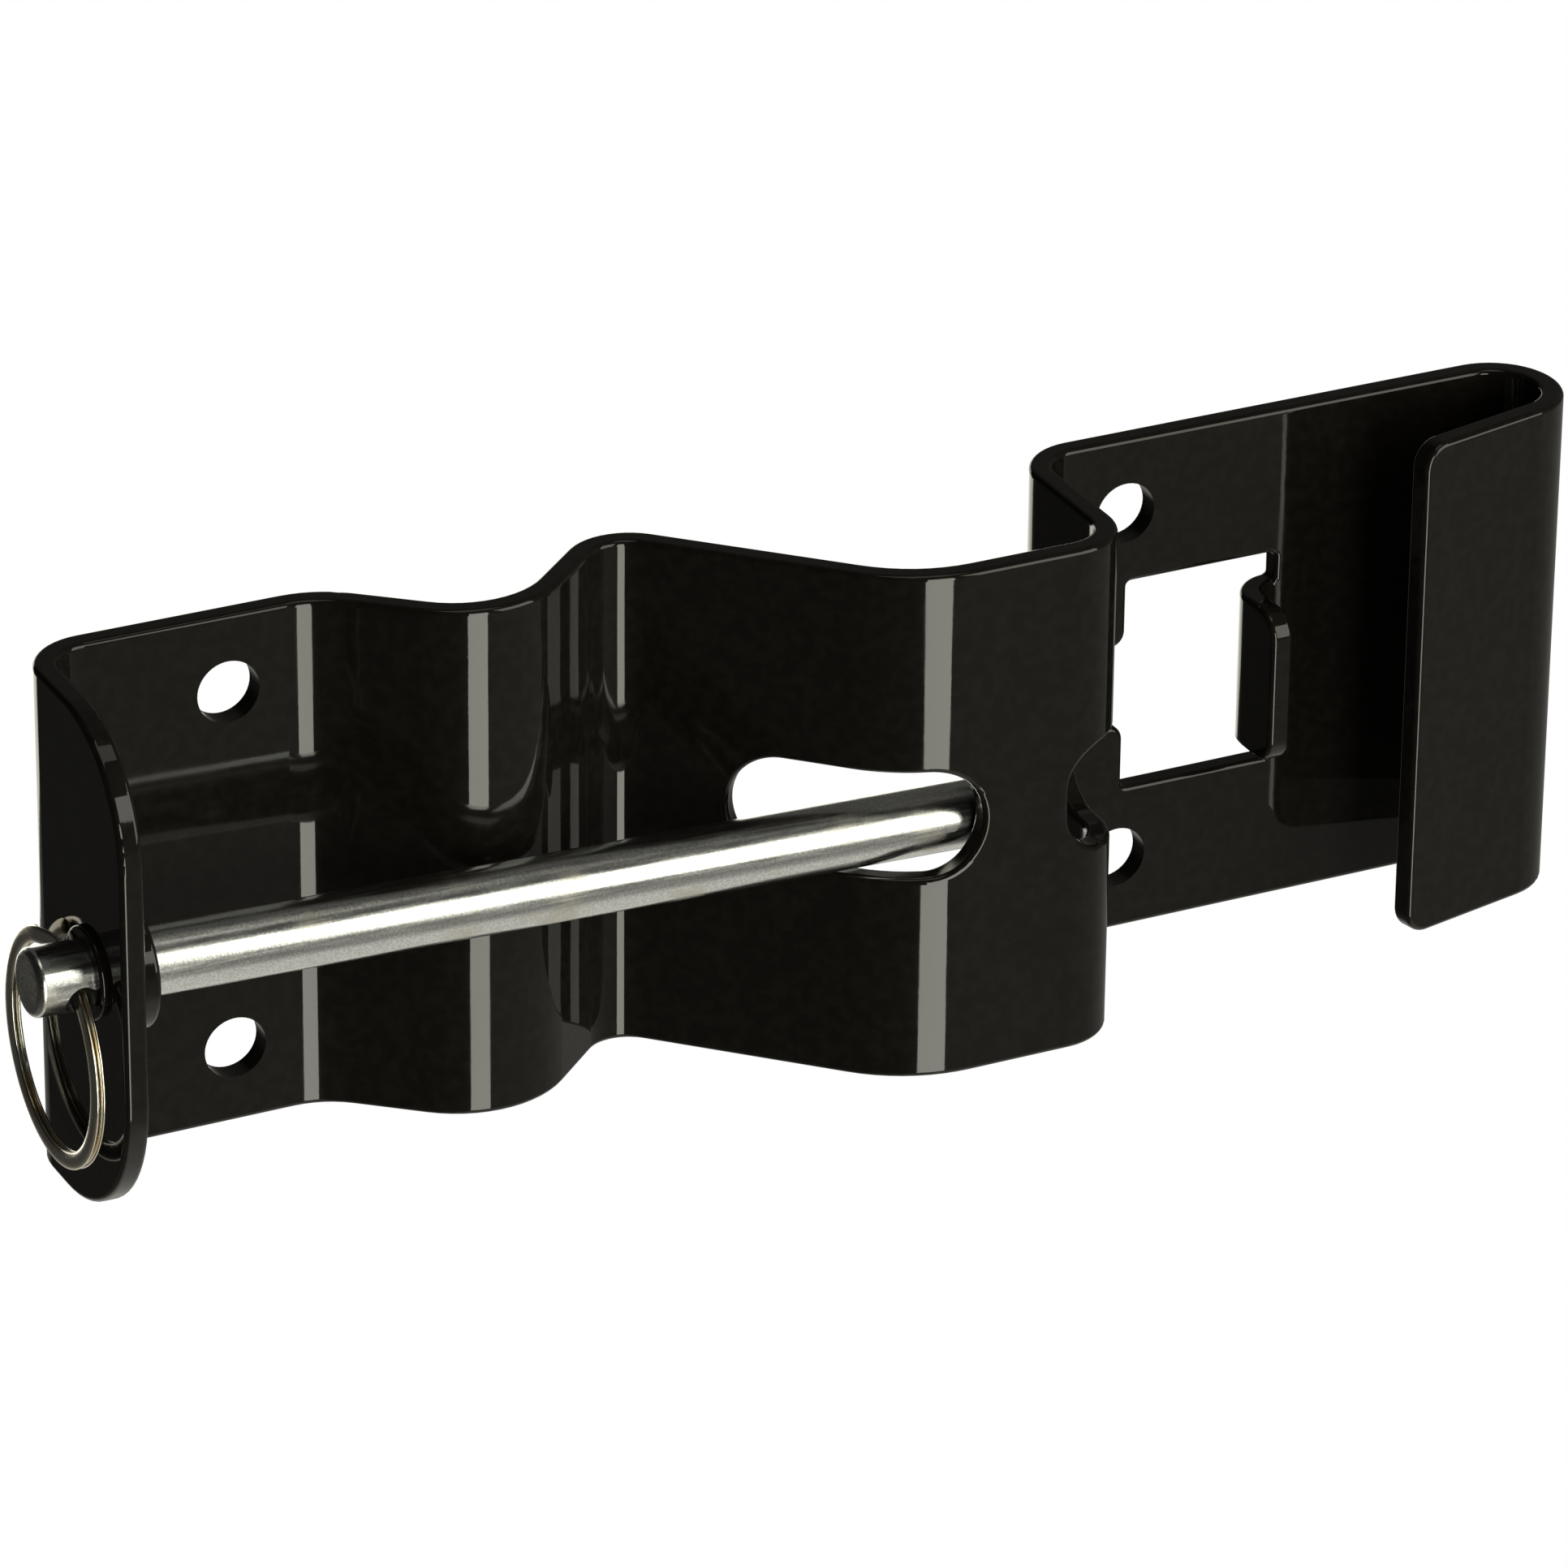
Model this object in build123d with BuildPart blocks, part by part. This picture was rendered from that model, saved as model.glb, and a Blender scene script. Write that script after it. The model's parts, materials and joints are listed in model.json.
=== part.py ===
"""Gate latch: a folded strip whose sliding pin closes the pocket in front of it.

Frame: the back of the plate lies on the plane Y = 0 and its front looks towards -Y. X runs
along the plate, Z up its height, and the origin is the centre of the four mounting holes.
Positions along X are given from the outer face of the flange that carries the pin.
"""
from build123d import *

import os
from math import asin, cos, hypot, pi, radians, sin, sqrt, tan

# ---- strip, mm ----------------------------------------------------------------------------
plate_height = 76.0
sheet = 3.4
edge_round = 0.8              # cut edges under their paint
flange_top_corner = 18.0
flange_foot_corner = 22.0
flange_foot = 2.1             # the flange ends this far above the plate's lower edge
flange_foot_run = 1.0         # and the step comes this far past its bend
flange_ahead = 11.7           # from the pin's axis to the flange's front edge
square_bend = 9.0             # outside radius of the square bends
bump_start_x = 43.5           # the strip leaves the wall
bump_start_radius = 15.0
crest_x = 63.9
crest_radius = 12.3
valley_x = 85.8               # sharp corner of the valley, before it is rounded
valley_behind = 2.8           # and how far behind the back plane that corner would be
valley_radius = 9.1
ramp_top_x = 118.6
ramp_top_radius = 19.0
rise = 29.9                   # back plane to the inside of the raised front
wall_x = 147.6                # inside face of the wall that comes back to the plate
hook_from_tab = 37.3          # to the centre of the hook's bend
hook_radius = 9.7             # outside
lip_angle = 13.0              # opening between the lip and the plate, degrees
lip_length = 21.6
lip_corner = 3.8

# ---- mounting holes -----------------------------------------------------------------------
mount_hole = 9.0
mount_x = 29.4                # the pair beside the flange
mount_from_wall = 17.3        # the pair beyond the wall
mount_from_edge = 11.25       # from the plate's upper and lower edges

# ---- window with its notch and its folded tab ---------------------------------------------
window_from_wall = 17.9
window_height = 32.0
window_top_corner = 3.5
window_foot_corner = 1.5
relief_corner = 1.5           # where the window runs past the tab's bend
notch_height = 12.2
notch_from_wall = 10.4
notch_corner = 2.3
tab_from_window = 17.2        # to the tab's near face
tab_depth = 14.7              # back plane to the tab's front edge
tab_height = 23.2
tab_bend = 6.5                # outside radius
tab_corner = 4.0

# ---- pin, and its openings in the bracket -------------------------------------------------
pin_diameter = 9.5
pin_stub = 8.9                # outside the flange when the pin is home
pin_z = 1.2                   # height of the axis at the flange's outer face
pin_droop = 1.74              # the pin's tip lies lower, degrees
pin_end_round = 1.0
pin_gap = 0.45                # from the pin to the inside of the raised front
pin_over_crest = 2.85         # from the pin back to the crest's sharp corner
pin_tip_gap = 6.5             # from the pin's tip to the wall

slot_play = 6.5               # the slots are this much higher than the pin
slot_rest = 0.35              # from the pin down to the edge it lies on
slot_below_pin = 11.6         # down the ramp, past the pin
slot_past_top = 1.4           # from the ramp's top corner to where its end turns round
corner_slot_from_wall = 6.7   # to its end on the raised front
corner_slot_corner = 6.2      # corners of its end on the raised front
corner_slot_z = 0.0
corner_slot_rise = 15.1       # from the raised front back to the slot's end in the wall

# ---- bush ---------------------------------------------------------------------------------
bush_clearance = 0.06         # radial, round the pin
bush_wall = 1.2
bush_collar_lap = 2.8         # of the collar on the flange's inner face
bush_collar_thickness = 3.4
bush_rim = 0.9                # stands out of the flange's outer face
bush_rim_width = 0.45         # laps over the flange's hole

# ---- ring ---------------------------------------------------------------------------------
ring_diameter = 33.1
ring_width = 2.4              # of the flat wire, along the ring's radius
ring_wire = 0.85              # thickness of the wire
ring_gap = 0.06               # between the two turns
ring_play = 0.57              # between the wire and the cross hole
ring_clearance = 0.9          # between the ring and the bush's rim
ring_jog = 26.0               # where the wire crosses from one turn to the other, degrees
ring_split = 226.0            # place of the wire's first end, round from the far side, degrees
jog_steps = 6
cross_hole_tilt = 65.0        # from the vertical, its lower end towards the front, degrees

# ---- worked out ---------------------------------------------------------------------------
half_height = plate_height / 2
window_x = wall_x + window_from_wall
tab_x = window_x + tab_from_window
hook_x = tab_x + hook_from_tab
mount_span_x = wall_x + mount_from_wall - mount_x
mount_span_z = plate_height - 2 * mount_from_edge
flange_x = -(mount_x + mount_span_x / 2)      # the flange's outer face in the frame
punch = 1.0                                   # a cut starts this far off the sheet

# the pin lies just behind the raised front, over the crest
pin_radius = pin_diameter / 2
pin_out = rise - pin_gap - pin_radius
pin_length = pin_stub + wall_x - pin_tip_gap
crest_out = pin_out - pin_radius - pin_over_crest
flange_depth = pin_out + flange_ahead

# the slot up the ramp, with the pin on its lower edge
ramp = Vector(ramp_top_x - valley_x, -rise - valley_behind)
ramp_slope = ramp.normalized()
slot_height = pin_diameter + slot_play
slot_radius = slot_height / 2
slot_on_ramp = (pin_gap + pin_diameter) / -ramp_slope.Y + slot_below_pin
slot_z = pin_z - ramp_top_x * tan(radians(pin_droop)) + slot_play / 2 - slot_rest
corner_slot_x = wall_x - corner_slot_from_wall
corner_slot_out = rise - corner_slot_rise

# the ring curves through the straight hole, so its middle stands half the curve's rise off
ring_pitch = ring_wire + ring_gap
ring_half = (ring_pitch + ring_wire) / 2
ring_radius = (ring_diameter - ring_width) / 2
ring_chord = sqrt(ring_radius**2 - pin_radius**2)
ring_hang = (ring_radius + ring_chord) / 2
cross_hole = 2 * ring_play + 2 * hypot(ring_width / 2 + ring_radius - ring_hang, ring_half)
cross_hole_x = bush_rim + ring_clearance + ring_half      # outside the flange's outer face


def front_plane(out=0.0):
    """Parallel to the plate and facing forward: x along the plate, y up."""
    return Plane(origin=(flange_x, -out, 0), x_dir=(1, 0, 0), z_dir=(0, -1, 0))


def end_plane(x=0.0):
    """Square to the plate, facing the flange's outside: x out of the plate, y up."""
    return Plane(origin=(flange_x + x, 0, 0), x_dir=(0, -1, 0), z_dir=(-1, 0, 0))


def sharp_edges(part):
    """The edges where two faces meet at about a right angle."""
    neighbours = {}
    for face in part.faces():
        for edge in face.edges():
            neighbours.setdefault(edge, []).append(face)
    found = ShapeList()
    for edge, faces in neighbours.items():
        middle = edge @ 0.5
        if len(faces) == 2:
            turn = faces[0].normal_at(middle).get_angle(faces[1].normal_at(middle))
            if turn > 45:
                found.append(edge)
    return found


# looking down on the strip, with x = 0 at the flange's outer face
floor_plane = Plane(origin=(flange_x, 0, 0))
# square to the ramp, at its top corner: x up the ramp, y up the plate's height
ramp_plane = Plane(
    origin=(flange_x + ramp_top_x, -rise, 0),
    x_dir=(ramp_slope.X, ramp_slope.Y, 0),
    z_dir=(ramp_slope.Y, -ramp_slope.X, 0),
)
# on the pin's axis at the flange's outer face, looking along the pin towards its tip
pin_direction = Vector(cos(radians(pin_droop)), 0, -sin(radians(pin_droop)))
pin_plane = Plane(origin=(flange_x, -pin_out, pin_z), x_dir=(0, -1, 0), z_dir=pin_direction)
# the same point without the droop, for what sits square in the flange
bush_plane = Plane(origin=(flange_x, -pin_out, pin_z), x_dir=(0, -1, 0), z_dir=(1, 0, 0))

bush_bore = pin_radius + bush_clearance
bush_sleeve = bush_bore + bush_wall
bush_collar = bush_sleeve + bush_collar_lap

os.makedirs("parts", exist_ok=True)

# ---- mounting bracket ---------------------------------------------------------------------
with BuildPart() as mounting_bracket:
    with BuildSketch(floor_plane):
        with BuildLine():
            with BuildLine(mode=Mode.PRIVATE) as back_face:
                run = FilletPolyline(
                    (0, -flange_depth),
                    (0, 0),
                    (bump_start_x, 0),
                    (crest_x, -crest_out),
                    (valley_x, valley_behind),
                    (ramp_top_x, -rise),
                    (wall_x, -rise),
                    (wall_x, 0),
                    (hook_x, 0),
                    radius=[
                        square_bend,
                        bump_start_radius,
                        crest_radius,
                        valley_radius,
                        ramp_top_radius,
                        square_bend - sheet,
                        square_bend,
                    ],
                )
                hook = JernArc(run @ 1, run % 1, hook_radius, lip_angle - 180)
                lip = Line(hook @ 1, hook @ 1 + (hook % 1) * lip_length)
            add(offset(back_face.wire(), amount=sheet, side=Side.RIGHT, mode=Mode.PRIVATE))
        make_face()
    extrude(amount=half_height, both=True)

    # the flange's raised foot, and its rounded corners
    with BuildSketch(end_plane(-punch)):
        with Locations((0, -half_height)):
            Rectangle(flange_depth + punch, flange_foot, align=(Align.MIN, Align.MIN))
    extrude(amount=-(punch + square_bend + flange_foot_run), mode=Mode.SUBTRACT)
    flange_corners = mounting_bracket.edges().filter_by(Axis.X).group_by(Axis.Y)[0]
    fillet(flange_corners.sort_by(Axis.Z)[0], flange_foot_corner)
    flange_corners = mounting_bracket.edges().filter_by(Axis.X).group_by(Axis.Y)[0]
    fillet(flange_corners.sort_by(Axis.Z)[-1], flange_top_corner)
    lip_front = (lip % 1).rotate(Axis.Z, -90)
    lip_end = floor_plane.from_local_coords(lip @ 1 + lip_front * sheet / 2)
    lip_face = mounting_bracket.faces().sort_by_distance(lip_end)[0]
    fillet(lip_face.edges().filter_by(Axis.Z, reverse=True), lip_corner)

    # window, with a notch in its near side
    window_end_x = tab_x + tab_bend
    with BuildSketch(front_plane(-punch)):
        with Locations((window_x, 0)):
            Rectangle(window_end_x - window_x, window_height, align=(Align.MIN, Align.CENTER))
        with Locations((window_x, 0)):
            Rectangle(
                window_from_wall - notch_from_wall,
                notch_height,
                align=(Align.MAX, Align.CENTER),
            )
        columns = vertices().group_by(Axis.X)
        near_side = columns[1].sort_by(Axis.Y)
        fillet(columns[0] + near_side[1:3], notch_corner)
        fillet(near_side[0], window_foot_corner)
        fillet(near_side[3], window_top_corner)
        fillet(columns[2], relief_corner)
    extrude(amount=punch + sheet + punch, mode=Mode.SUBTRACT)

    # tab, folded forward from the window's far side
    with BuildSketch(floor_plane):
        with BuildLine():
            with BuildLine(mode=Mode.PRIVATE) as tab_back:
                FilletPolyline(
                    (window_end_x + sheet, 0),
                    (tab_x, 0),
                    (tab_x, -tab_depth),
                    radius=tab_bend,
                )
            add(offset(tab_back.wire(), amount=sheet, side=Side.LEFT, mode=Mode.PRIVATE))
        make_face()
    extrude(amount=tab_height / 2, both=True)
    tab_corners = (
        mounting_bracket.edges()
        .filter_by(Axis.X)
        .filter_by_position(Axis.Y, -tab_depth - 0.1, -tab_depth + 0.1)
    )
    fillet(tab_corners, tab_corner)

    # slot for the pin, up the ramp and over its top
    with BuildSketch(ramp_plane.offset(sheet + punch)):
        with Locations((slot_radius - slot_on_ramp, slot_z)):
            Circle(slot_radius)
            Rectangle(slot_on_ramp - slot_radius, slot_height, align=(Align.MIN, Align.CENTER))
    extrude(amount=-(punch + sheet + punch), mode=Mode.SUBTRACT)
    with BuildSketch(front_plane(rise + sheet + punch)):
        with Locations((ramp_top_x + slot_past_top, slot_z)):
            Circle(slot_radius)
            Rectangle(slot_past_top + sheet, slot_height, align=(Align.MAX, Align.CENTER))
    extrude(amount=-(punch + sheet + sheet), mode=Mode.SUBTRACT)

    # slot round the corner between the raised front and the wall
    with BuildSketch(front_plane(rise + sheet + punch)):
        with Locations((corner_slot_x, corner_slot_z)):
            Rectangle(
                wall_x + sheet + punch - corner_slot_x,
                slot_height,
                align=(Align.MIN, Align.CENTER),
            )
        fillet(vertices().group_by(Axis.X)[0], corner_slot_corner)
    extrude(amount=-(punch + square_bend), mode=Mode.SUBTRACT)
    with BuildSketch(end_plane(corner_slot_x + corner_slot_corner)):
        with Locations((corner_slot_out + slot_radius, corner_slot_z)):
            Circle(slot_radius)
            Rectangle(
                rise + sheet + punch - corner_slot_out - slot_radius,
                slot_height,
                align=(Align.MIN, Align.CENTER),
            )
    extrude(amount=-(wall_x - corner_slot_x), mode=Mode.SUBTRACT)

    # the sheet's cut edges, rounded by the paint
    fillet(sharp_edges(mounting_bracket.part), edge_round)

    # holes for the screws and for the bush, straight through the sheet
    with BuildSketch(front_plane(-punch)):
        with Locations((mount_x + mount_span_x / 2, 0)):
            with GridLocations(mount_span_x, mount_span_z, 2, 2):
                Circle(mount_hole / 2)
    extrude(amount=punch + sheet + punch, mode=Mode.SUBTRACT)
    with BuildSketch(bush_plane.offset(-punch)):
        Circle(bush_sleeve)
    extrude(amount=punch + sheet + punch, mode=Mode.SUBTRACT)

mounting_bracket.part.label = "mounting_bracket"
export_step(mounting_bracket.part, "parts/mounting_bracket.step")

# ---- guide bush ---------------------------------------------------------------------------
with BuildPart() as guide_bush:
    with BuildSketch(bush_plane.offset(sheet)):
        Circle(bush_collar)
    extrude(amount=bush_collar_thickness)
    collar_end = guide_bush.faces().sort_by(Axis.X)[-1]
    fillet(collar_end.edges(), bush_collar_thickness / 4)
    with BuildSketch(bush_plane):
        Circle(bush_sleeve)
    extrude(amount=sheet)
    with BuildSketch(bush_plane):
        Circle(bush_sleeve + bush_rim_width)
    extrude(amount=-bush_rim)
    rim_end = guide_bush.faces().sort_by(Axis.X)[0]
    fillet(rim_end.edges(), bush_rim / 2)
    # the bore follows the pin as it lies
    with BuildSketch(pin_plane.offset(-bush_rim - punch)):
        Circle(bush_bore)
    extrude(amount=punch + bush_rim + sheet + bush_collar_thickness + punch, mode=Mode.SUBTRACT)

guide_bush.part.label = "guide_bush"
export_step(guide_bush.part, "parts/guide_bush.step")

# ---- latch pin ----------------------------------------------------------------------------
# the cross hole runs square to the pin; these are "across" and "up" as seen along the pin
across = Vector(0, 1, 0)
upward = pin_direction.cross(across)
tilt = radians(cross_hole_tilt)
hole_centre = Vector(flange_x, -pin_out, pin_z) - pin_direction * cross_hole_x
hole_axis = upward * cos(tilt) + across * sin(tilt)
hole_plane = Plane(origin=hole_centre, x_dir=pin_direction, z_dir=hole_axis)

with BuildPart() as latch_pin:
    with BuildSketch(pin_plane.offset(-pin_stub)):
        Circle(pin_radius)
    extrude(amount=pin_length)
    pin_ends = latch_pin.faces().filter_by(GeomType.PLANE)
    fillet(pin_ends.edges(), pin_end_round)
    with BuildSketch(hole_plane):
        Circle(cross_hole / 2)
    extrude(amount=pin_diameter, both=True, mode=Mode.SUBTRACT)

latch_pin.part.label = "latch_pin"
export_step(latch_pin.part, "parts/latch_pin.step")

# ---- split ring ---------------------------------------------------------------------------
# two flat turns of one wire, with a short jog that carries it from the first to the second
# it hangs across the hole's axis, with its plane parallel to the flange
hang = across * cos(tilt) - upward * sin(tilt)
lean = asin(-hang.X)
to_centre = hang * cos(lean) + pin_direction * sin(lean)
ring_centre = hole_centre + to_centre * ring_hang
ring_plane = Plane(origin=ring_centre, x_dir=to_centre, z_dir=hole_axis.cross(to_centre))


def wire_section(angle, height):
    """Square to the wire, at an angle round the ring and a height along its axis."""
    turn = radians(angle)
    outward = Vector(cos(turn), sin(turn), 0)
    centre = ring_plane.from_local_coords(outward * ring_radius + Vector(0, 0, height))
    along = ring_plane.from_local_coords(Vector(-sin(turn), cos(turn), 0)) - ring_centre
    return Plane(
        origin=centre,
        x_dir=ring_plane.from_local_coords(outward) - ring_centre,
        z_dir=along,
    )


with BuildPart() as split_ring:
    for height in (-ring_pitch / 2, ring_pitch / 2):
        with BuildSketch(wire_section(ring_split, height)):
            Rectangle(ring_width, ring_wire)
        revolve(axis=Axis(ring_centre, ring_plane.z_dir), revolution_arc=360 - ring_jog)
    for step in range(jog_steps + 1):
        share = step / jog_steps
        with BuildSketch(
            wire_section(ring_split - ring_jog * (1 - share), -ring_pitch / 2 * cos(pi * share))
        ):
            Rectangle(ring_width, ring_wire)
    loft(ruled=True)

split_ring.part.label = "split_ring"
export_step(split_ring.part, "parts/split_ring.step")
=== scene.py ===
import json
from math import copysign, cos, pi, radians, sin

import bmesh
import bpy
from mathutils import Matrix, Vector


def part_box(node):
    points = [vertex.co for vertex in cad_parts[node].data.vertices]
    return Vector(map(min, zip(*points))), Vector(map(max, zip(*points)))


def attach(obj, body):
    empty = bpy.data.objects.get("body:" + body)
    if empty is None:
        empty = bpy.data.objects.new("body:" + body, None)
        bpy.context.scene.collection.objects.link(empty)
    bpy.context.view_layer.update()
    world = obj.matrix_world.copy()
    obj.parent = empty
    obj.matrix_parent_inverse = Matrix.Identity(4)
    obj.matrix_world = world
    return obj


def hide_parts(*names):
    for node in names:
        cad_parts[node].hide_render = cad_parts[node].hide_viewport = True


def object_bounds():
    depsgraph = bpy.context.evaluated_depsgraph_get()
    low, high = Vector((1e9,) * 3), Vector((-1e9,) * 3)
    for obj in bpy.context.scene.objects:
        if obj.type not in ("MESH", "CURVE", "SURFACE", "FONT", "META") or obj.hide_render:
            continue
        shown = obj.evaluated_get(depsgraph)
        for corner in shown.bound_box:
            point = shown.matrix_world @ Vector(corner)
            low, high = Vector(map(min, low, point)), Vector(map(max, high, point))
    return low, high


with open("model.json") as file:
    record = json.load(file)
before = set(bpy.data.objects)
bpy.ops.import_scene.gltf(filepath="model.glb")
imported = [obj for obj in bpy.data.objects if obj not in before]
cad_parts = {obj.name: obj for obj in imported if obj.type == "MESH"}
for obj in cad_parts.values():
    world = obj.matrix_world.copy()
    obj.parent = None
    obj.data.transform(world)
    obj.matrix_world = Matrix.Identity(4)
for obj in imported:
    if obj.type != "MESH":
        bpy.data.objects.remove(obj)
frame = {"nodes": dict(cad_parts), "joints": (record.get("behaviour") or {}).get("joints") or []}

CAD_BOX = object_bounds()
MM = 0.001                    # the scene is in metres

# ---- camera, fitted to the outlines in the photograph -------------------------------------
CAMERA_AZIMUTH = radians(-26.50)
CAMERA_ELEVATION = radians(26.13)
CAMERA_ROLL = radians(0.576)
CAMERA_DISTANCE = 1.267
CAMERA_TARGET = Vector((16.75, 0, -6.06)) * MM
CAMERA_LENS = 209.6           # in millimetres, as the sensor
CAMERA_SENSOR = 36.0
CAMERA_CLIP = (0.05, 50)


def direction(azimuth, elevation):
    """Unit vector towards a place round the object; azimuth 0 is in front of it."""
    return Vector((
        sin(azimuth) * cos(elevation),
        -cos(azimuth) * cos(elevation),
        sin(elevation),
    ))


def make_camera():
    data = bpy.data.cameras.new("camera")
    data.lens = CAMERA_LENS
    data.sensor_width = CAMERA_SENSOR
    data.clip_start, data.clip_end = CAMERA_CLIP
    camera = bpy.data.objects.new("camera", data)
    bpy.context.collection.objects.link(camera)
    back = direction(CAMERA_AZIMUTH, CAMERA_ELEVATION)
    level = Vector((cos(CAMERA_AZIMUTH), sin(CAMERA_AZIMUTH), 0))
    upright = back.cross(level)
    right = cos(CAMERA_ROLL) * level + sin(CAMERA_ROLL) * upright
    up = cos(CAMERA_ROLL) * upright - sin(CAMERA_ROLL) * level
    place = Matrix((right, up, back)).transposed().to_4x4()
    place.translation = CAMERA_TARGET + back * CAMERA_DISTANCE
    camera.matrix_world = place
    bpy.context.scene.camera = camera
    bpy.context.scene.view_settings.view_transform = "Standard"


make_camera()


# ---- node helpers -------------------------------------------------------------------------
class Nodes:
    """A short way to build a node tree. add() makes a node, the other calls the usual ones."""

    def __init__(self, tree):
        self.tree = tree
        tree.nodes.clear()

    def set(self, socket, value):
        if isinstance(value, bpy.types.NodeSocket):
            self.tree.links.new(value, socket)
        else:
            socket.default_value = value

    def add(self, kind, settings=None, **inputs):
        node = self.tree.nodes.new(kind)
        for name, value in (settings or {}).items():
            setattr(node, name, value)
        for name, value in inputs.items():
            self.set(node.inputs[name.replace("_", " ")], value)
        return node

    def math(self, operation, a, b):
        node = self.add("ShaderNodeMath", {"operation": operation})
        self.set(node.inputs[0], a)
        self.set(node.inputs[1], b)
        return node.outputs[0]

    def total(self, *parts):
        """The sum of some values, each given with the share it is multiplied by."""
        first, *others = [self.math("MULTIPLY", value, share) for value, share in parts]
        for other in others:
            first = self.math("ADD", first, other)
        return first

    def mix(self, share, a, b):
        node = self.add("ShaderNodeMix", {"data_type": "RGBA"})
        self.set(node.inputs[0], share)
        self.set(node.inputs[6], a)
        self.set(node.inputs[7], b)
        return node.outputs[2]

    def span(self, value, start, stop, low=0.0, high=1.0):
        """A smooth step: low where the value is at start, high where it is at stop."""
        node = self.add("ShaderNodeMapRange", {"interpolation_type": "SMOOTHSTEP"}, Value=value)
        self.set(node.inputs["From Min"], start)
        self.set(node.inputs["From Max"], stop)
        self.set(node.inputs["To Min"], low)
        self.set(node.inputs["To Max"], high)
        return node.outputs["Result"]


def grey(value):
    return (value, value, value, 1.0)


# ---- studio -------------------------------------------------------------------------------
# The camera sees white all round. What the gloss mirrors is a dim room, set by the direction.
HORIZON, TONE_ABOVE, TONE_BELOW = (0.10, -0.30), 0.07, 0.22
GROUND, GROUND_EXTRA = (-0.50, -0.80), 0.42     # added to TONE_BELOW, straight down
LEFT_SIDE, LEFT_SHARE = (0.1, -0.4), 0.16       # of the tone is left on that side
GREEN_SHARE, BLUE_SHARE = 0.97, 0.88            # of the red, in the room's light
FLOOR_DROP = 0.45             # below the object, which hangs on a wall in use
FLOOR_SIDE = 9.0
FLOOR_TONE = 0.42             # what lights the object; the camera sees white here too
LAMP_TINT = (1.0, 0.985, 0.87)


def make_world():
    world = bpy.data.worlds.new("studio")
    bpy.context.scene.world = world
    world.use_nodes = True
    n = Nodes(world.node_tree)
    way = n.add("ShaderNodeSeparateXYZ", Vector=n.add("ShaderNodeTexCoord").outputs["Generated"])
    x, _, z = way.outputs
    lower = n.span(z, *HORIZON, TONE_ABOVE, TONE_BELOW)
    tone = n.math("ADD", lower, n.span(z, *GROUND, 0.0, GROUND_EXTRA))
    left = n.span(x, *LEFT_SIDE)
    red = n.math("MULTIPLY", tone, n.span(left, 0.0, 1.0, 1.0, LEFT_SHARE))
    seen = n.add("ShaderNodeLightPath").outputs["Is Camera Ray"]
    colour = n.add(
        "ShaderNodeCombineColor",
        Red=red,
        Green=n.math("MULTIPLY", red, GREEN_SHARE),
        Blue=n.math("MULTIPLY", red, BLUE_SHARE),
    )
    both = n.mix(seen, colour.outputs[0], grey(1.0))
    back = n.add("ShaderNodeBackground", Color=both, Strength=1.0)
    n.add("ShaderNodeOutputWorld", Surface=back.outputs[0])


def make_floor():
    mesh = bpy.data.meshes.new("floor")
    shape = bmesh.new()
    bmesh.ops.create_grid(shape, x_segments=1, y_segments=1, size=FLOOR_SIDE / 2)
    shape.to_mesh(mesh)
    shape.free()
    floor = bpy.data.objects.new("floor", mesh)
    floor.location = (0, 0, CAD_BOX[0].z - FLOOR_DROP)
    bpy.context.collection.objects.link(floor)
    material = bpy.data.materials.new("floor")
    material.use_nodes = True
    n = Nodes(material.node_tree)
    seen = n.add("ShaderNodeLightPath").outputs["Is Camera Ray"]
    dim = n.add("ShaderNodeEmission", Color=grey(FLOOR_TONE), Strength=1.0)
    white = n.add("ShaderNodeEmission", Color=grey(1.0), Strength=1.0)
    both = n.add("ShaderNodeMixShader", Fac=seen)
    n.set(both.inputs[1], dim.outputs[0])
    n.set(both.inputs[2], white.outputs[0])
    n.add("ShaderNodeOutputMaterial", Surface=both.outputs[0])
    mesh.materials.append(material)
    floor.visible_glossy = False      # the gloss mirrors the world below, not the floor


def softbox(name, azimuth, elevation, distance, width, height, radiance):
    """A rectangle of even light that faces the object."""
    data = bpy.data.lights.new(name, "AREA")
    data.shape = "RECTANGLE"
    data.size, data.size_y = width, height
    data.energy = radiance * pi * width * height
    data.color = LAMP_TINT
    lamp = bpy.data.objects.new(name, data)
    bpy.context.collection.objects.link(lamp)
    out = direction(radians(azimuth), radians(elevation))
    lamp.matrix_world = out.to_track_quat("Z", "Y").to_matrix().to_4x4()
    lamp.location = out * distance
    lamp.visible_camera = False


make_world()
make_floor()
softbox("strip", azimuth=-1.5, elevation=-8, distance=3.0, width=0.98, height=3.4, radiance=6.6)
softbox("key", azimuth=38, elevation=20, distance=2.4, width=1.6, height=1.8, radiance=3.1)
softbox("backdrop", azimuth=172, elevation=-10, distance=2.6, width=1.9, height=1.6, radiance=1.6)
softbox("top", azimuth=20, elevation=80, distance=2.2, width=1.2, height=0.9, radiance=0.9)

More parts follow.
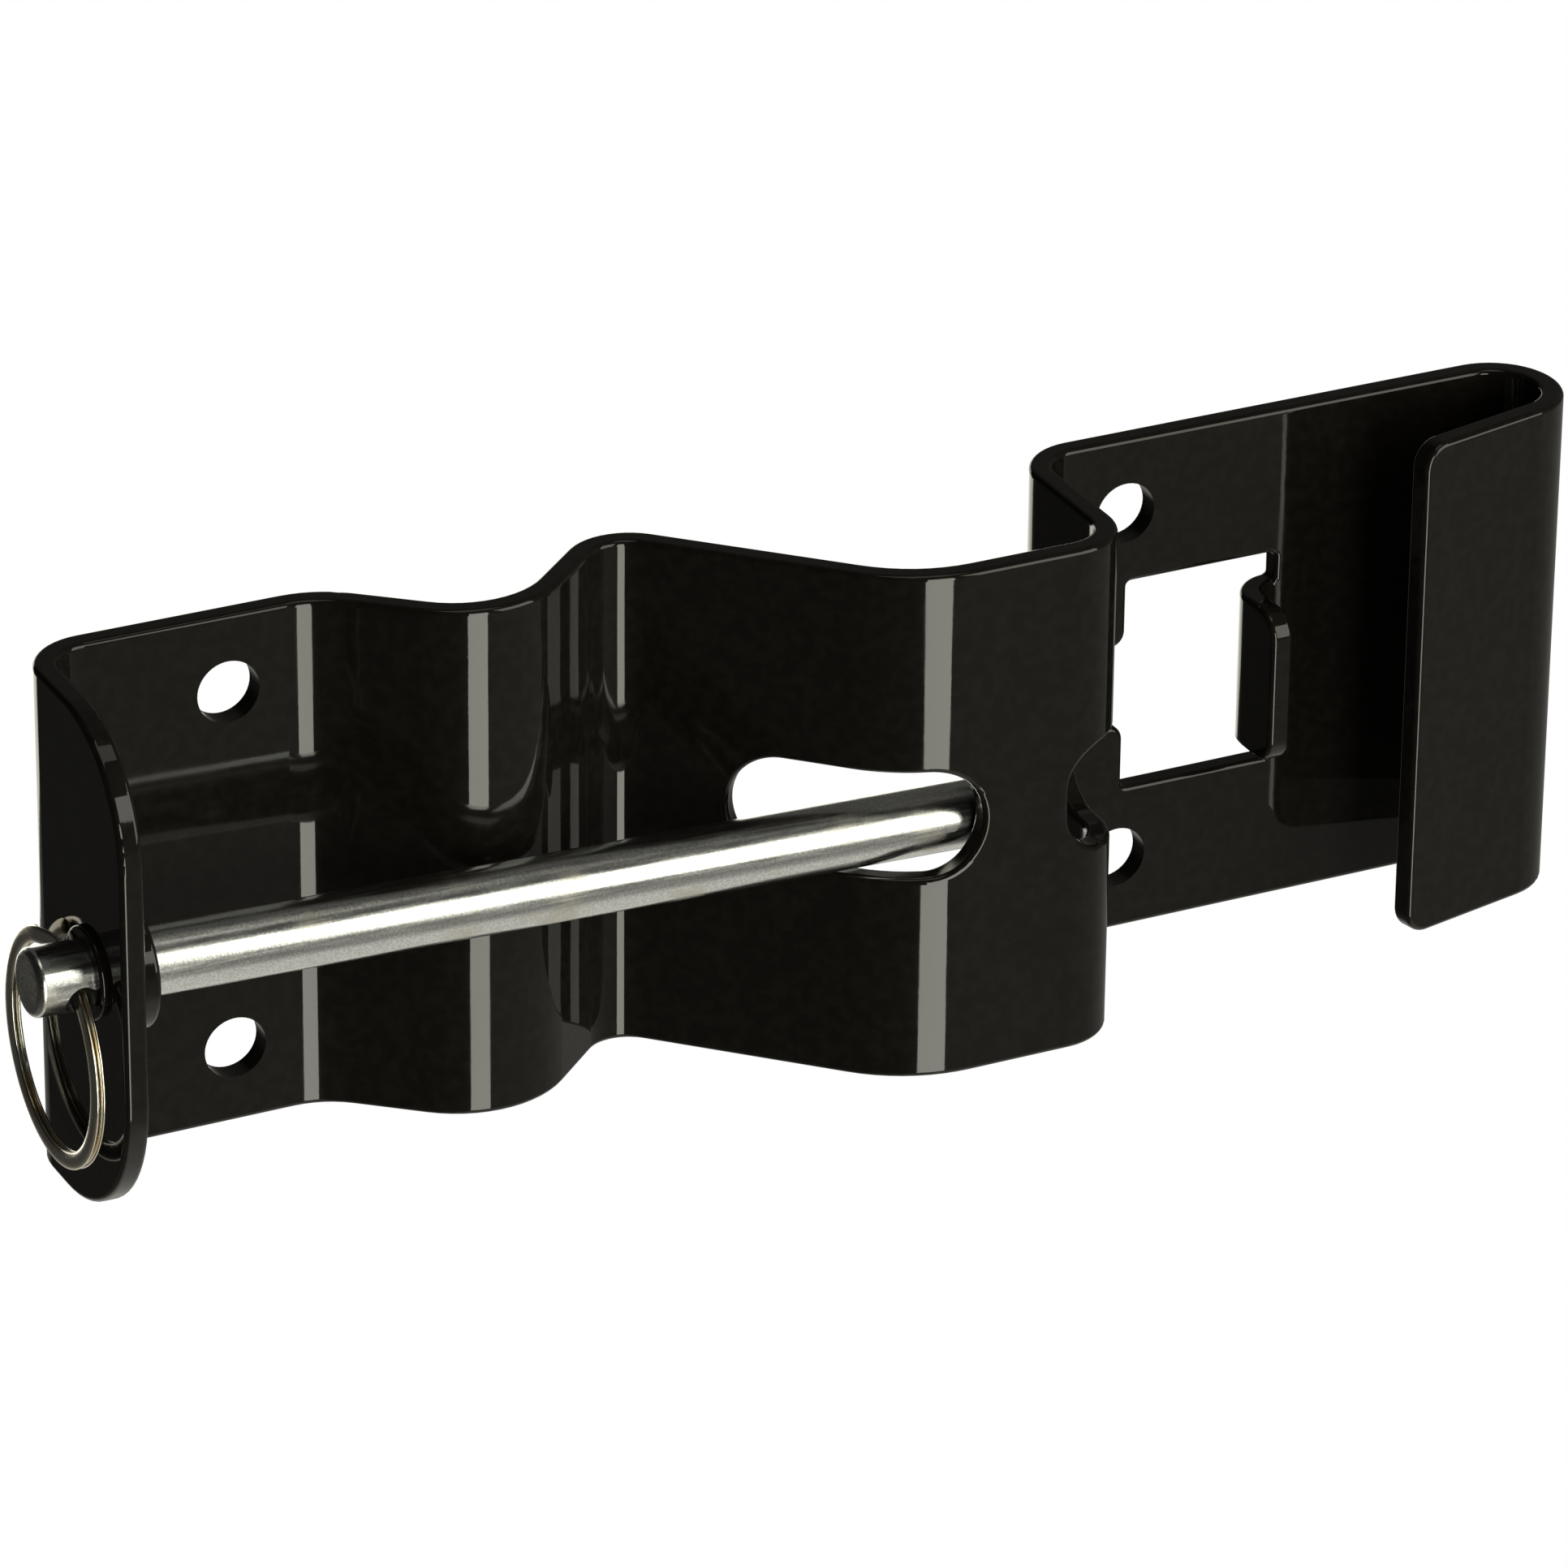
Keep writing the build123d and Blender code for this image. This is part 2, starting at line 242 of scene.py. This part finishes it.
# ---- materials ----------------------------------------------------------------------------
# Each finish runs between its two colours, and its two roughnesses, with the noise in it.
PAINT_COLOURS = (0.0072, 0.0064, 0.0052, 1), (0.0105, 0.0093, 0.0072, 1)
DUST_COLOUR = (0.03, 0.028, 0.022, 1)
PAINT_RELIEF = 0.05 * MM
PAINT_ROUGHNESS, DUST_ROUGHNESS = (0.035, 0.065), 0.15
PAINT_IOR = 1.42
ZINC_COLOURS = (0.60, 0.61, 0.60, 1), (0.76, 0.77, 0.75, 1)
SMUDGE_COLOUR = (0.50, 0.46, 0.34, 1)
ZINC_RELIEF = 0.012 * MM
ZINC_ROUGHNESS, SMUDGE_ROUGHNESS = (0.16, 0.26), 0.1
ALONG_THE_PIN = (0.06, 1, 1)  # stretches noise into the marks of drawing the bar
NICKEL_COLOURS = (0.93, 0.90, 0.82, 1), (0.86, 0.77, 0.60, 1)
NICKEL_RELIEF = 0.006 * MM
NICKEL_ROUGHNESS = (0.14, 0.24)


def new_material(name):
    material = bpy.data.materials.new(name)
    material.use_nodes = True
    return material, Nodes(material.node_tree)


def noise(n, grain, detail, stretch=(1, 1, 1)):
    """Noise with a grain of the given size, in metres."""
    place = n.add("ShaderNodeMapping", Vector=n.add("ShaderNodeTexCoord").outputs["Object"])
    n.set(place.inputs["Scale"], stretch)
    made = n.add(
        "ShaderNodeTexNoise",
        Vector=place.outputs[0],
        Scale=1 / grain,
        Detail=detail,
        Roughness=0.5,
    )
    return made.outputs[0]


def surface(n, height, relief, colour, roughness, **constants):
    """The shader of a finish: a height from 0 to 1, over a relief in metres, and a colour."""
    bump = n.add("ShaderNodeBump", Height=height, Strength=1.0, Distance=relief)
    shader = n.add(
        "ShaderNodeBsdfPrincipled",
        Base_Color=colour,
        Roughness=roughness,
        Normal=bump.outputs[0],
        **constants,
    )
    n.add("ShaderNodeOutputMaterial", Surface=shader.outputs[0])


def black_paint():
    material, n = new_material("black_paint")
    swell = noise(n, 14 * MM, detail=1.0)
    peel = noise(n, 1.8 * MM, detail=2.0)
    dust = n.span(noise(n, 0.5 * MM, detail=1.0), 0.80, 0.86)
    height = n.total((swell, 0.8), (peel, 0.05), (dust, 0.03))
    colour = n.mix(n.span(peel, 0.35, 0.7), *PAINT_COLOURS)
    colour = n.mix(dust, colour, DUST_COLOUR)
    rough = n.span(swell, 0.3, 0.7, *PAINT_ROUGHNESS)
    rough = n.math("ADD", rough, n.math("MULTIPLY", dust, DUST_ROUGHNESS))
    surface(n, height, PAINT_RELIEF, colour, rough, IOR=PAINT_IOR)
    return material


def zinc():
    material, n = new_material("zinc_plate")
    grain = noise(n, 0.35 * MM, detail=2.0)
    drawn = noise(n, 0.5 * MM, detail=3.0, stretch=ALONG_THE_PIN)
    smudge = n.span(noise(n, 11 * MM, detail=3.0), 0.58, 0.72)
    height = n.total((grain, 0.5), (drawn, 0.6))
    colour = n.mix(n.span(grain, 0.35, 0.65), *ZINC_COLOURS)
    colour = n.mix(n.math("MULTIPLY", smudge, 0.4), colour, SMUDGE_COLOUR)
    rough = n.span(drawn, 0.3, 0.7, *ZINC_ROUGHNESS)
    rough = n.math("ADD", rough, n.math("MULTIPLY", smudge, SMUDGE_ROUGHNESS))
    surface(n, height, ZINC_RELIEF, colour, rough, Metallic=1.0)
    return material


def nickel():
    material, n = new_material("nickel_wire")
    drawn = noise(n, 0.4 * MM, detail=2.0)
    warm = noise(n, 7 * MM, detail=1.0)
    colour = n.mix(n.span(warm, 0.35, 0.65), *NICKEL_COLOURS)
    rough = n.span(drawn, 0.3, 0.7, *NICKEL_ROUGHNESS)
    surface(n, drawn, NICKEL_RELIEF, colour, rough, Metallic=1.0)
    return material


PAINT = black_paint()
FINISHES = {
    "mounting_bracket": PAINT,
    "guide_bush": PAINT,
    "latch_pin": zinc(),
    "split_ring": nickel(),
}
for node, material in FINISHES.items():
    for slot in frame["nodes"][node].material_slots:
        slot.material = material

# ---- split ring: two turns of a rounded wire, joined by one jog ---------------------------
WIRE_WIDTH = 2.4 * MM         # along the ring's radius
WIRE_THICKNESS = 0.85 * MM
TURN_PITCH = 0.91 * MM        # from one turn to the next
RING_DIAMETER = 33.1 * MM
RING_START, JOG_START, JOG_END, RING_STOP = 226, 560, 586, 920      # degrees along the wire
TURN_STEP = 2                 # degrees from one section to the next
SECTION_POINTS = 28
SECTION_POWER = 0.95          # 1 is an ellipse, less is squarer
END_TAPER = 9                 # degrees over which an end rounds off
END_SIZE = 0.25               # of the wire's size is left at the very end


def ring_frame():
    """The ring's centre and its three directions, from its joint and its CAD box."""
    joint = next(j for j in frame["joints"] if j["name"] == "ring_swing")
    hole, axis = Vector(joint["pos_m"]), Vector(joint["axis"]).normalized()
    low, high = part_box("split_ring")
    centre = (low + high) / 2
    outward = centre - hole
    outward = (outward - axis * outward.dot(axis)).normalized()
    return centre, outward, -axis, axis.cross(outward)


def squared(value):
    """A sine or a cosine, with its size raised to SECTION_POWER."""
    return copysign(abs(value) ** SECTION_POWER, value)


def add_section(shape, centre, away, normal, height, size):
    """One loop of points round the wire; away points out along the ring's radius."""
    middle = (RING_DIAMETER - WIRE_WIDTH) / 2
    loop = []
    for point in range(SECTION_POINTS):
        turn = 2 * pi * point / SECTION_POINTS
        wide = squared(cos(turn)) * WIRE_WIDTH / 2 * size
        thick = squared(sin(turn)) * WIRE_THICKNESS / 2 * size
        place = centre + away * (middle + wide) + normal * (height + thick)
        loop.append(shape.verts.new(place))
    return loop


def wound_ring():
    centre, forth, across, normal = ring_frame()
    shape = bmesh.new()
    loops = []
    for angle in range(RING_START, RING_STOP + 1, TURN_STEP):
        turn = radians(angle)
        away = forth * cos(turn) + across * sin(turn)
        jog = min(max((angle - JOG_START) / (JOG_END - JOG_START), 0), 1)
        height = -cos(pi * jog) * TURN_PITCH / 2
        near_end = min(angle - RING_START, RING_STOP - angle) / END_TAPER
        size = max((1 - (1 - min(near_end, 1)) ** 2) ** 0.5, END_SIZE)
        loops.append(add_section(shape, centre, away, normal, height, size))
    for one, two in zip(loops, loops[1:]):
        for point in range(SECTION_POINTS):
            other = (point + 1) % SECTION_POINTS
            shape.faces.new((one[point], one[other], two[other], two[point]))
    shape.faces.new(loops[0][::-1])
    shape.faces.new(loops[-1])
    bmesh.ops.recalc_face_normals(shape, faces=shape.faces)
    mesh = bpy.data.meshes.new("wound_ring")
    shape.to_mesh(mesh)
    shape.free()
    mesh.shade_smooth()
    ring = bpy.data.objects.new("wound_ring", mesh)
    bpy.context.collection.objects.link(ring)
    mesh.materials.append(FINISHES["split_ring"])
    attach(ring, "ring")
    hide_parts("split_ring")


wound_ring()
